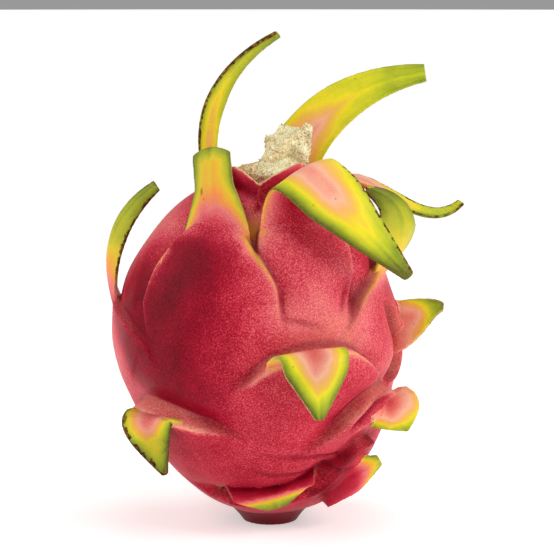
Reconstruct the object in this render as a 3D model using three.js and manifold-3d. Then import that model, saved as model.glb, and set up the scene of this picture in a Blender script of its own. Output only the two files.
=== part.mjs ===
// A whole dragon fruit standing on its cut stem end: one fleshy red body whose skin grows out into
// leafy scales, and the dry, corky remains of the flower seated in its crown.
// Millimetres, +Z up, origin at the middle of the flat cut that the fruit stands on, -Y to the front.
import * as THREE from "three";
import { mergeVertices } from "three/addons/utils/BufferGeometryUtils.js";
import Module from "manifold-3d";

const wasm = await Module();
wasm.setup();

const degrees = Math.PI / 180;

// The smooth body under the relief: an egg of two unlike halves on a short stem neck.
const body = {
  beltRadius: 44.5, // at the widest ring
  beltHeight: 62,
  topHeight: 116.5, // where the upper half would close
  bottomHeight: 4, // where the lower half would close
  fullness: 1.7, // 2 is an ellipse, and less is more pointed
  crownHeight: 112.5, // flat under the dry flower
  baseRadius: 9, // flat cut at the stem end
  neckHeight: 7,
  neckFlare: 0.55, // how fast the stem neck widens upwards
  bow: -4.5, // the belt's middle stands this far to the side of the base
  bowRise: 1.5, // over 1, the lower body leans less than the upper
  firstRing: 1, // height of the lowest ring over the cut
  rings: 28,
  segments: 60,
};

// The skin swells into a cushion below each scale, parted by furrows.
const cushion = {
  swell: 2.8, // height of a cushion's middle over its furrows
  shelf: 1.3, // further rise towards the scale at its top
  furrow: 7, // width over which a cushion rounds down to its furrow
  fade: 14, // height over which the relief dies out at the stem end
  crownFade: 4, // and at the crown
};

// Scales, each rooted in the skin and bending away along a curve. azimuth: degrees round the fruit, 0 at the
// front, + to the right. height: of the root. path: two handles and the tip of the curve that its middle
// follows, from the root, as [outwards, to the right, up]. width: at the foot of the apron, the root, the
// middle and the tip. lean: degrees its root is turned. twist: degrees turned about its own line by the
// middle and the tip. cup: hollow of its inner face, as a share of the width, - where the margins droop.
// apron: how far its base runs down the skin. cell: distance from the root down to the middle of its cushion.
const scales = [
  {
    name: "crown_back_left", azimuth: -135, height: 107, apron: 14, cell: 24, lean: 0,
    path: [[6.9, 6.9, 24], [-1.5, 2.5, 44], [-20, -8, 55]], width: [26, 6.5, 10, 4], twist: [0, 0], cup: 0.1,
  },
  {
    name: "crown_back_right", azimuth: 163, height: 110, apron: 12, cell: 18, lean: 0,
    path: [[-2, -5, 17], [5, -19, 33], [15, -44, 36]], width: [28, 20, 14.5, 6], twist: [0, 0], cup: 0.15,
  },
  {
    name: "crown_right", azimuth: 95, height: 107, apron: 12, cell: 16, lean: 0,
    path: [[3.5, 0, 15], [25.5, 0, -17.5], [40, 2, -3]], width: [28, 16, 9.5, 3], twist: [20, 30], cup: 0.12,
  },
  {
    name: "crown_front_right", azimuth: 21, height: 101, apron: 20, cell: 20, lean: 0,
    path: [[-8, 0, 30], [27, -7, 18], [16.5, 31, -16]], width: [46, 24, 19, 3.5], twist: [50, 64], cup: -0.19,
  },
  {
    name: "crown_front_left", azimuth: -29, height: 99, apron: 26, cell: 28, lean: 0,
    path: [[-5, -2, 10], [-11, -8, 28], [-15, -9, 24]], width: [46, 24, 13, 12], twist: [8, 22], cup: 0.15,
  },
  {
    name: "right_upper", azimuth: 78, height: 84, apron: 12, cell: 14, lean: 0,
    path: [[7, 0, 8], [12, 4, 22], [-5.5, 4, 26.5]], width: [28, 17, 18, 3], twist: [-40, -60], cup: 0.12,
  },
  {
    name: "left_upper", azimuth: -92, height: 72, apron: 18, cell: 20, lean: 0,
    path: [[4, 1, 12], [3.5, 2, 27], [-13.5, 1, 39.5]], width: [32, 16, 11, 4], twist: [30, 60], cup: 0.12,
  },
  {
    name: "right_middle", azimuth: 84, height: 66, apron: 8, cell: 14, lean: 75,
    path: [[5, -2, 1], [11, -1, 7.5], [16, 0, 6.5]], width: [42, 19, 12, 3], twist: [0, 0], cup: 0.1,
  },
  {
    name: "front_middle", azimuth: 19, height: 61, apron: 5, cell: 16, lean: 12,
    path: [[5, 0, 6], [13, 0, 8], [10, 1, -16]], width: [54, 25, 21, 3], twist: [0, 0], cup: -0.06,
  },
  {
    name: "right_lower", azimuth: 67, height: 40, apron: 7, cell: 14, lean: 20,
    path: [[3, 0, 5], [5.5, -2, 5], [4.5, -2, -5]], width: [40, 20, 20, 12], twist: [10, 20], cup: -0.05,
  },
  {
    name: "left_lower", azimuth: -49, height: 40, apron: 5, cell: 15, lean: 0,
    path: [[4, 0, 3], [8, 0, 4], [2, 5.5, -16]], width: [48, 23, 13.5, 2], twist: [0, 0], cup: 0.05,
  },
  {
    name: "right_foot", azimuth: 43, height: 16.5, apron: 8, cell: 12, lean: -65,
    path: [[1.5, 6, 2], [5, 12, 5], [8, 17, 8.5]], width: [40, 14, 14, 4], twist: [0, 0], cup: 0.08,
  },
  {
    name: "front_foot", azimuth: 3, height: 15.5, apron: 5, cell: 8, lean: 9,
    path: [[3, -0.2, 1.2], [6, 0.4, -1], [4.5, 1.6, -6.3]], width: [44, 31, 26, 7], twist: [0, 0], cup: -0.04,
  },
  {
    name: "left_foot", azimuth: -41, height: 14.5, apron: 4, cell: 8, lean: 0,
    path: [[1, 0, 1], [1.5, 0, 1], [2, 1, -1]], width: [10, 5, 4, 2], twist: [0, 0], cup: -0.05,
  },
  {
    name: "rim_left", azimuth: -36, height: 111, apron: 8, cell: 10, lean: 0,
    path: [[1, 0, 3], [1, 0, 5], [1, -1, 8]], width: [24, 22, 13, 3], twist: [0, 0], cup: 0.12,
  },
  {
    name: "rim_right", azimuth: 28, height: 111, apron: 8, cell: 10, lean: 0,
    path: [[1, 0, 3], [1, 1, 6], [0, 2, 9]], width: [26, 26, 15, 3], twist: [0, 0], cup: 0.12,
  },
  {
    name: "back_upper_left", azimuth: -160, height: 84, apron: 14, cell: 16, lean: 0,
    path: [[4, 0, 10], [9, 0, 18], [12, 2, 24]], width: [38, 18, 13, 4], twist: [0, 0], cup: 0.1,
  },
  {
    name: "back_upper_right", azimuth: 125, height: 80, apron: 14, cell: 16, lean: 0,
    path: [[3, 0, 6], [6, 0, 11], [6, 1, 16]], width: [38, 18, 12, 4], twist: [0, 0], cup: 0.1,
  },
  {
    name: "back_crown", azimuth: -172, height: 100, apron: 14, cell: 16, lean: 0,
    path: [[5, 0, 8], [14, 0, 14], [26, 2, 8]], width: [34, 20, 14, 4], twist: [0, 0], cup: 0.1,
  },
  {
    name: "back_middle", azimuth: 168, height: 62, apron: 5, cell: 16, lean: 0,
    path: [[4, 0, 8], [12, 0, 10], [14, 1, -10]], width: [46, 22, 17, 3], twist: [0, 0], cup: 0.05,
  },
  {
    name: "back_middle_left", azimuth: -130, height: 56, apron: 5, cell: 15, lean: 0,
    path: [[3, 0, 8], [9, 0, 8], [8, 1, -12]], width: [46, 22, 17, 3], twist: [0, 0], cup: 0.02,
  },
  {
    name: "back_middle_right", azimuth: 128, height: 50, apron: 5, cell: 15, lean: 0,
    path: [[3, 0, 8], [9, 0, 8], [8, -1, -12]], width: [46, 23, 17, 3], twist: [0, 0], cup: 0,
  },
  {
    name: "back_lower", azimuth: 170, height: 37, apron: 5, cell: 14, lean: 0,
    path: [[4, 0, 6], [12, 0, 8], [10, 1, -11]], width: [46, 23, 16, 3], twist: [0, 0], cup: 0,
  },
  {
    name: "back_lower_left", azimuth: -122, height: 32, apron: 5, cell: 12, lean: 0,
    path: [[3, 0, 5], [8, 0, 6], [7, 1, -10]], width: [42, 22, 15, 3], twist: [0, 0], cup: 0,
  },
  {
    name: "back_lower_right", azimuth: 131, height: 26, apron: 5, cell: 10, lean: 0,
    path: [[3, 0, 5], [9, 0, 5], [9, -1, -7]], width: [38, 20, 14, 3], twist: [0, 0], cup: -0.05,
  },
  {
    name: "back_foot", azimuth: -170, height: 16, apron: 4, cell: 8, lean: 0,
    path: [[4, 0, 4], [8, 0, 4], [6, 1, -6]], width: [34, 22, 14, 4], twist: [0, 0], cup: -0.05,
  },
];
const blade = {
  rootThickness: 2.8, // along the middle of a scale
  tipThickness: 1.6,
  edgeThickness: 0.9, // along its margins
  sink: 2.2, // how deep the apron's foot lies under the skin
  flare: 0.7, // below 1, the apron narrows fastest near its foot
  spacing: 5.2, // between the rows of a scale
  columns: 4,
  fewestRows: 5, // of a free part
};

// The dry flower: a corky lump on the crown and the block of its torn-off tube standing on it.
const scar = {
  radius: 12.5,
  seat: 2, // how deep it sits in the crown
  rise: 7, // of the lump's rim over the crown
  // the lump's side from its foot to its dished top, as shares of the radius and of the whole height
  side: [[0.9, 0], [1, 0.35], [0.95, 0.8], [0.75, 1], [0.35, 0.91], [0, 0.87]],
  waves: 0.07, // unevenness of its outline, as a share of the radius
  ripple: 0.06, // and of its top
  segments: 20,
  block: [14.5, 9, 18], // width, depth and height
  blockSegments: [3, 2, 3],
  blockMiddle: [4.8, 4, 120.5],
  blockTurn: 12, // degrees, about the vertical
  blockLean: 0.26, // to the right, as it rises
  blockTop: 0.14, // slope of its torn top
  rough: 0.8, // how far the block's corners wander
  roughWave: [0.9, 1.7], // radians a millimetre
  gap: 0.3, // between it and the flesh
};

const mix = (a, b, t) => a + (b - a) * t;
const bend = (a, b, c, t) => (t < 0.5 ? mix(a, b, t * 2) : mix(b, c, t * 2 - 1)); // by way of a middle value
const clamp = (t) => Math.min(1, Math.max(0, t));
const ease = (t) => clamp(t) ** 2 * (3 - 2 * clamp(t));

// Radius of the smooth body at a height.
function smoothRadius(height) {
  const above = height > body.beltHeight;
  const semi = above ? body.topHeight - body.beltHeight : body.beltHeight - body.bottomHeight;
  const t = Math.min(1, Math.abs(height - body.beltHeight) / semi);
  const egg = body.beltRadius * Math.sqrt(1 - t ** body.fullness);
  const neck = height < body.neckHeight ? body.baseRadius + body.neckFlare * height : 0;
  return Math.max(egg, neck);
}

function smoothPoint(azimuth, height) {
  const radius = smoothRadius(height);
  const share = clamp(height / body.crownHeight);
  const aside = body.bow * Math.sin(Math.PI * share ** body.bowRise);
  return new THREE.Vector3(radius * Math.sin(azimuth) + aside, -radius * Math.cos(azimuth), height);
}

// Height reached by walking a distance along the skin, downwards from a height.
function walkDown(height, distance) {
  const step = distance < 0 ? -0.5 : 0.5;
  let z = height;
  for (let gone = 0; gone < Math.abs(distance) && z > step; gone += Math.abs(step)) {
    const slope = (smoothRadius(z) - smoothRadius(z - step)) / step;
    z -= step / Math.hypot(1, slope);
  }
  return z;
}

const cells = scales.map(({ azimuth, height, cell }) => {
  return { middle: smoothPoint(azimuth * degrees, walkDown(height, cell)), reach: cell };
});

// Height of the relief at a point of the smooth body.
function relief(point) {
  let first = Infinity;
  let second = Infinity;
  let rise = 0;
  for (const { middle, reach } of cells) {
    const away = point.distanceTo(middle) - reach;
    if (away < first) {
      second = first;
      first = away;
      rise = (point.z - middle.z) / reach;
    } else if (away < second) second = away;
  }
  const rounded = 1 - Math.exp(-(((second - first) / cushion.furrow) ** 2));
  const fade = ease(point.z / cushion.fade) * ease((body.crownHeight - point.z) / cushion.crownFade);
  return (cushion.swell + cushion.shelf * rise) * rounded * fade;
}

// Point on the finished skin, raised by some more.
function skinPoint(azimuth, height, raise = 0) {
  const point = smoothPoint(azimuth, height);
  const slope = smoothRadius(height + 0.5) - smoothRadius(height - 0.5); // over one millimetre
  const outward = new THREE.Vector3(Math.sin(azimuth), -Math.cos(azimuth), -slope).normalize();
  return point.clone().addScaledVector(outward, relief(point) + raise);
}

// A closed mesh as a manifold-3d solid, and back.
function toSolid(geometry) {
  const merged = mergeVertices(geometry, 1e-4);
  return new wasm.Manifold(
    new wasm.Mesh({
      numProp: 3,
      vertProperties: merged.attributes.position.array,
      triVerts: new Uint32Array(merged.index.array),
    }),
  );
}

function toGeometry(solid) {
  const { vertProperties, triVerts } = solid.getMesh();
  return new THREE.BufferGeometry()
    .setAttribute("position", new THREE.BufferAttribute(vertProperties, 3))
    .setIndex(largestShell(vertProperties, triVerts));
}

// Triangles of the largest closed shell. The rest are hollows sealed under a scale, so they are filled.
function largestShell(spots, corners) {
  const parent = Uint32Array.from({ length: spots.length / 3 }, (_, i) => i);
  const find = (i) => {
    while (parent[i] !== i) i = parent[i] = parent[parent[i]];
    return i;
  };
  for (let i = 0; i < corners.length; i += 3) {
    parent[find(corners[i + 1])] = find(corners[i]);
    parent[find(corners[i + 2])] = find(corners[i]);
  }
  const shells = new Map();
  for (let i = 0; i < corners.length; i += 3) {
    const shell = find(corners[i]);
    if (!shells.has(shell)) shells.set(shell, []);
    shells.get(shell).push(...corners.subarray(i, i + 3));
  }
  return [...shells.values()].sort((a, b) => b.length - a.length)[0];
}

// Moves every vertex of a geometry and leaves only its positions.
function shift(geometry, move) {
  geometry.deleteAttribute("normal");
  geometry.deleteAttribute("uv");
  const spot = geometry.attributes.position;
  for (let i = 0; i < spot.count; i++) {
    const moved = move(new THREE.Vector3().fromBufferAttribute(spot, i));
    spot.setXYZ(i, moved.x, moved.y, moved.z);
  }
}

function bodySolid() {
  const profile = [new THREE.Vector2(0, 0), new THREE.Vector2(body.baseRadius, 0)];
  const low = body.beltHeight - body.firstRing;
  const high = Math.asin((body.crownHeight - body.beltHeight) / (body.topHeight - body.beltHeight));
  for (let i = 1; i <= body.rings; i++) {
    const turn = mix(-Math.PI / 2, high, i / body.rings);
    const semi = turn > 0 ? body.topHeight - body.beltHeight : low;
    const height = body.beltHeight + semi * Math.sin(turn);
    profile.push(new THREE.Vector2(smoothRadius(height), height));
  }
  profile.push(new THREE.Vector2(0, body.crownHeight));
  const geometry = new THREE.LatheGeometry(profile, body.segments);
  geometry.rotateX(Math.PI / 2);
  const nil = 1e-6;
  const flat = (p) => p.z < nil || Math.hypot(p.x, p.y) < nil;
  shift(geometry, (p) => (flat(p) ? p : skinPoint(Math.atan2(p.x, -p.y), p.z)));
  return toSolid(geometry);
}

// Rows of points in the middle of a scale's thickness, from the foot of its apron to its tip.
function scaleRows(scale) {
  const azimuth = scale.azimuth * degrees;
  const out = new THREE.Vector3(Math.sin(azimuth), -Math.cos(azimuth), 0);
  const right = new THREE.Vector3(Math.cos(azimuth), Math.sin(azimuth), 0);
  const up = new THREE.Vector3(0, 0, 1);
  const [foot, root, middle, tip] = scale.width;
  const across = Array.from({ length: blade.columns + 1 }, (_, j) => (2 * j) / blade.columns - 1);
  const lean = scale.lean * degrees;
  const apronRows = Math.max(2, Math.round(scale.apron / blade.spacing));
  const rows = [];
  for (let i = 0; i < apronRows; i++) {
    const share = i / apronRows;
    const half = mix(foot, root, share ** blade.flare) / 2;
    const below = scale.apron * (1 - share);
    const depth = blade.sink * (1 - share) ** 2;
    rows.push(
      across.map((place) => {
        const aside = place * half * Math.cos(lean) + below * Math.sin(lean);
        const height = walkDown(scale.height, below * Math.cos(lean) - place * half * Math.sin(lean));
        return skinPoint(azimuth + aside / Math.max(smoothRadius(height), body.baseRadius), height, -depth);
      }),
    );
  }
  const start = skinPoint(azimuth, scale.height);
  const [first, second, end] = scale.path.map(([a, b, c]) =>
    start.clone().addScaledVector(out, a).addScaledVector(right, b).addScaledVector(up, c),
  );
  const curve = new THREE.CubicBezierCurve3(start, first, second, end);
  const freeRows = Math.max(blade.fewestRows, Math.round(curve.getLength() / blade.spacing));
  const skinCup = root / (8 * smoothRadius(scale.height));
  const side = right.clone().applyAxisAngle(out, -lean);
  const swing = new THREE.Quaternion();
  let before = up.clone().applyAxisAngle(out, -lean);
  for (let i = 0; i <= freeRows; i++) {
    const share = i / freeRows;
    const onward = curve.getTangentAt(share);
    side.applyQuaternion(swing.setFromUnitVectors(before, onward));
    before = onward;
    const twist = bend(0, ...scale.twist, share) * degrees;
    const turned = side.clone().applyAxisAngle(onward, twist);
    const outer = turned.clone().cross(onward);
    const width = bend(root, middle, tip, share);
    const hollow = mix(skinCup, scale.cup, Math.min(1, share * 2)) * width;
    const spot = curve.getPointAt(share);
    const curl = (place) => outer.clone().multiplyScalar(-hollow * place ** 2);
    const sideways = (place) => turned.clone().multiplyScalar((place * width) / 2);
    rows.push(across.map((place) => spot.clone().add(sideways(place)).add(curl(place))));
  }
  return { rows, apronRows };
}

// A closed blade round rows of points, thickest along its middle.
function scaleSolid(scale) {
  const { rows, apronRows } = scaleRows(scale);
  const last = rows.length - 1;
  const count = rows[0].length;
  const outerFace = [];
  const innerFace = [];
  rows.forEach((row, i) => {
    row.forEach((point, j) => {
      const alongWay = rows[Math.min(last, i + 1)][j].clone().sub(rows[Math.max(0, i - 1)][j]);
      const acrossWay = row[Math.min(count - 1, j + 1)].clone().sub(row[Math.max(0, j - 1)]);
      const normal = acrossWay.cross(alongWay).normalize();
      const across = (2 * j) / (count - 1) - 1;
      const middle =
        i < apronRows
          ? mix(blade.edgeThickness, blade.rootThickness, i / apronRows)
          : mix(blade.rootThickness, blade.tipThickness, (i - apronRows) / (last - apronRows));
      const thickness = mix(middle, blade.edgeThickness, across ** 2);
      outerFace.push(point.clone().addScaledVector(normal, thickness / 2));
      innerFace.push(point.clone().addScaledVector(normal, -thickness / 2));
    });
  });
  const faces = [];
  const inner = outerFace.length;
  const at = (i, j) => i * count + j;
  const quad = (a, b, c, d) => faces.push(a, b, c, a, c, d);
  for (let i = 0; i < last; i++)
    for (let j = 0; j < count - 1; j++) {
      quad(at(i, j), at(i, j + 1), at(i + 1, j + 1), at(i + 1, j));
      const [a, b, c, d] = [at(i, j), at(i, j + 1), at(i + 1, j + 1), at(i + 1, j)].map((v) => v + inner);
      faces.push(a, c, b, a, d, c);
    }
  const rim = [];
  for (let j = 0; j < count - 1; j++) rim.push(at(0, j));
  for (let i = 0; i < last; i++) rim.push(at(i, count - 1));
  for (let j = count - 1; j > 0; j--) rim.push(at(last, j));
  for (let i = last; i > 0; i--) rim.push(at(i, 0));
  rim.forEach((a, k) => {
    const b = rim[(k + 1) % rim.length];
    quad(a, a + inner, b + inner, b);
  });
  const spots = [...outerFace, ...innerFace].flatMap((point) => point.toArray());
  const geometry = new THREE.BufferGeometry()
    .setAttribute("position", new THREE.Float32BufferAttribute(spots, 3))
    .setIndex(faces);
  return toSolid(geometry);
}

// The dry flower as one solid, grown by a margin.
function scarSolid(grow) {
  const foot = body.crownHeight - scar.seat;
  const rim = body.crownHeight + scar.rise;
  const side = scar.side.map(([radius, height], i) => {
    const level = i === 0 ? foot - grow : mix(foot, rim, height) + (radius < scar.side[1][0] ? grow : 0);
    return new THREE.Vector2(radius > 0 ? scar.radius * radius + grow : 0, level);
  });
  const profile = [new THREE.Vector2(0, foot - grow), ...side];
  const lump = new THREE.LatheGeometry(profile, scar.segments);
  lump.rotateX(Math.PI / 2);
  shift(lump, (p) => {
    const turn = Math.atan2(p.x, -p.y);
    const wave = 1 + scar.waves * (Math.sin(3 * turn + 1) + 0.5 * Math.sin(7 * turn));
    return new THREE.Vector3(p.x * wave, p.y * wave, p.z + scar.ripple * p.x * Math.sin(2 * turn));
  });
  const block = new THREE.BoxGeometry(...scar.block, ...scar.blockSegments);
  const grown = new THREE.Vector3(...scar.block.map((size) => (2 * grow) / size));
  const [along, over] = scar.roughWave;
  const wander = (a, b) => scar.rough * Math.sin(a * along + b * over);
  shift(block, (p) => {
    const aside = p.x + p.z * scar.blockLean;
    const leant = new THREE.Vector3(aside, p.y, p.z + aside * scar.blockTop);
    const { x, y, z } = leant;
    return leant.add(new THREE.Vector3(wander(z, y), wander(x, z), wander(y, x))).add(p.multiply(grown));
  });
  block.rotateZ(scar.blockTurn * degrees);
  block.translate(...scar.blockMiddle);
  return toSolid(lump).add(toSolid(block));
}

let fruit = bodySolid();
for (const scale of scales) fruit = fruit.add(scaleSolid(scale));
fruit = fruit.subtract(scarSolid(scar.gap));

const group = new THREE.Group();
const addPart = (name, solid, color, roughness) => {
  const material = new THREE.MeshStandardMaterial({ color, roughness, metalness: 0 });
  const mesh = new THREE.Mesh(toGeometry(solid), material);
  mesh.name = name;
  group.add(mesh);
};
addPart("fruit", fruit, "#b32a40", 0.45);
addPart("flower_scar", scarSolid(0), "#d9c08c", 0.9);

export default group;
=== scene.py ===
# A whole dragon fruit: red skin that grows out into leafy scales, and the dry flower seated in its crown.
# Shapes are worked out in millimetres in the frame's own axes, and made metres when a piece is finished.
import math
from functools import partial

import bpy
import numpy as np
from mathutils import Matrix, Quaternion, Vector


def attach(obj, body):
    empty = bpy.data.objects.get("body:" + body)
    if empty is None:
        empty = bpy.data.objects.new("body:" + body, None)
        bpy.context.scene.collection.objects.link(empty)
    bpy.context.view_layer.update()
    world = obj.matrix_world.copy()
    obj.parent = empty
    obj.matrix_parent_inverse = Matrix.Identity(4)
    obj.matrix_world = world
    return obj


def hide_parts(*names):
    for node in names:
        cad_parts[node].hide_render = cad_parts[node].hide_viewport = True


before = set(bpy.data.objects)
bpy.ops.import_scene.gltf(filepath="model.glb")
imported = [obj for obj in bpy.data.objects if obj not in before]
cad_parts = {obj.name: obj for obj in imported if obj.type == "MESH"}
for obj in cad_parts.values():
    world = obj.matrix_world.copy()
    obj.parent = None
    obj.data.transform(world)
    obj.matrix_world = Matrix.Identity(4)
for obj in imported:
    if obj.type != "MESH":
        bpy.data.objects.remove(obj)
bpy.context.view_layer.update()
millimetre = 0.001

# The smooth body: an egg of two half ellipses, a little pointed, on a short stem neck.
bodyShape = {
    "beltRadius": 44.5,  # at the widest ring
    "beltHeight": 62,
    "topHeight": 116.5,  # where the upper half would close
    "bottomHeight": 4,  # where the lower half would close
    "fullness": 1.7,  # 2 is an ellipse, and less is more pointed
    "crownHeight": 112.5,  # flat under the dry flower
    "baseRadius": 9,  # flat cut at the stem end
    "neckHeight": 7,
    "neckFlare": 0.55,  # how fast the stem neck widens upwards
    "bow": -4.5,  # the belt's middle stands this far to the side of the base
    "bowRise": 1.5,  # over 1, the lower body leans less than the upper
    "segments": 460,
    "rings": 340,
}

# The skin rises to a crest below and beside each scale, and tucks in under the crests of the scales below.
crestShape = {
    "swell": 2.6,  # the whole skin over the smooth body
    "rise": 9,  # width over which the skin rises to a crest
    "tuck": 3.0,  # depth of the furrow above a crest
    "tuckWidth": 5.5,
    "taper": 0.45,  # share of each arm of a crest over which it dies out
    "rim": 0.7,  # width of the bright line along a crest
    "glow": (4.5, 1.2),  # width of the bright band below the crests of an erect scale, near and far from it
    "flush": 6,  # how far an erect scale's colour runs down its cushion
    "fade": 12,  # height over which the relief dies out at the stem end
    "footShadeHeight": 13,  # painted shade: below this height the skin is painted darker towards the stem end
    "footShade": 0.3,
    "crownFade": 3,
    "foldShade": 0.1,  # painted shade: how much darker a fold is painted for each mm of its depth, and a ridge painted lighter
    "waver": 0.3,  # slow unevenness of the whole skin
    "spacing": 0.6,  # between the points of a crest line
    "reach": 24,  # how far from a crest line the skin still answers to it
    "erectLedge": 1.2,  # upper face of an erect scale's crest
    "cover": 3,  # width over which a crest hides the relief of those above it
    # width of the painted shade in the furrow above a crest
    "furrowShadeWidth": 1.1,
    "between": 4,  # how softly one cushion's colour runs into the next
    "lightSlopeRange": (-0.03, 0.2),
    "glowTone": (0.04, -0.2),  # of the bright band against the margin's own, near and far
    "paleLedge": (0.7, 0.2),  # how pale a crest's upper face is, on a usual and on an erect scale
}
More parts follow.
